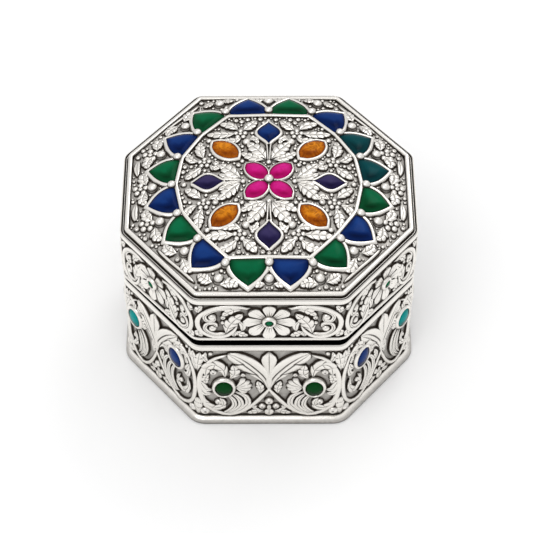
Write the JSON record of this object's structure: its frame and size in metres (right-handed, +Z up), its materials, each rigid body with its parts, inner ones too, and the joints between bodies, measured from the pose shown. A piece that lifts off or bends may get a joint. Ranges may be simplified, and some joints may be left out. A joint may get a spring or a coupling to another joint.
{
  "type": "hinged keepsake box",
  "caption": "Octagonal silver keepsake box with a domed, hinged lid set with enamel stones, and enamel buttons on its walls",
  "frame": {"origin": "centre of the octagon on the box's flat underside, which stands on the table", "axes": "+X to the right along the long way of the octagon, -Y to the front, +Y to the hinge, +Z up"},
  "size_m": [0.0742, 0.0713, 0.0555],
  "materials": {
    "silver": "polished silver relief, blackened in its hollows",
    "pin_steel": "plain drawn wire",
    "enamel_green": "polished, glossy, slightly translucent",
    "enamel_blue": "polished, glossy, slightly translucent",
    "enamel_teal": "polished, glossy, slightly translucent",
    "enamel_turquoise": "polished, glossy, slightly translucent",
    "enamel_violet": "polished, glossy, slightly translucent",
    "enamel_amber": "polished, glossy, slightly translucent",
    "enamel_pink": "polished, glossy, slightly translucent"
  },
  "bodies": {
    "base": {"base_floor": "silver", "base_rim_moulding": "silver", "base_wall": "silver", "button_back_1": "enamel_green", "button_back_2": "enamel_green", "button_back_left_1": "enamel_blue", "button_back_left_2": "enamel_turquoise", "button_back_right_1": "enamel_turquoise", "button_back_right_2": "enamel_blue", "button_front_1": "enamel_green", "button_front_2": "enamel_green", "button_front_left_1": "enamel_turquoise", "button_front_left_2": "enamel_blue", "button_front_right_1": "enamel_blue", "button_front_right_2": "enamel_turquoise", "button_left_1": "enamel_green", "button_left_2": "enamel_green", "button_right_1": "enamel_green", "button_right_2": "enamel_green", "foot_moulding": "silver", "hinge_leaf_base": "silver", "hinge_pin": "pin_steel", "inner_collar": "silver"},
    "lid": {"almond_stone_1": "enamel_amber", "almond_stone_2": "enamel_amber", "almond_stone_3": "enamel_amber", "almond_stone_4": "enamel_amber", "border_plate": "silver", "centre_petal_1": "enamel_pink", "centre_petal_2": "enamel_pink", "centre_petal_3": "enamel_pink", "centre_petal_4": "enamel_pink", "drop_stone_back": "enamel_blue", "drop_stone_front": "enamel_violet", "drop_stone_left": "enamel_violet", "drop_stone_right": "enamel_violet", "hinge_leaf_lid": "silver", "lid_dome": "silver", "lid_edge_moulding": "silver", "lid_frame": "silver", "lid_shoulder": "silver", "lid_wall": "silver", "medallion_plate": "silver", "medallion_ring": "silver", "petal_stone_01": "enamel_blue", "petal_stone_02": "enamel_green", "petal_stone_03": "enamel_blue", "petal_stone_04": "enamel_green", "petal_stone_05": "enamel_teal", "petal_stone_06": "enamel_teal", "petal_stone_07": "enamel_blue", "petal_stone_08": "enamel_green", "petal_stone_09": "enamel_blue", "petal_stone_10": "enamel_green", "petal_stone_11": "enamel_blue", "petal_stone_12": "enamel_green", "petal_stone_13": "enamel_blue", "petal_stone_14": "enamel_green", "petal_stone_15": "enamel_blue", "petal_stone_16": "enamel_green"}
  },
  "joints": [
    {"name": "lid_hinge", "type": "hinge", "parent": "base", "child": "lid", "pos_m": [0, 0.03546, 0.03173], "axis": [-1, 0, 0], "range_deg": [0, 100]}
  ]
}
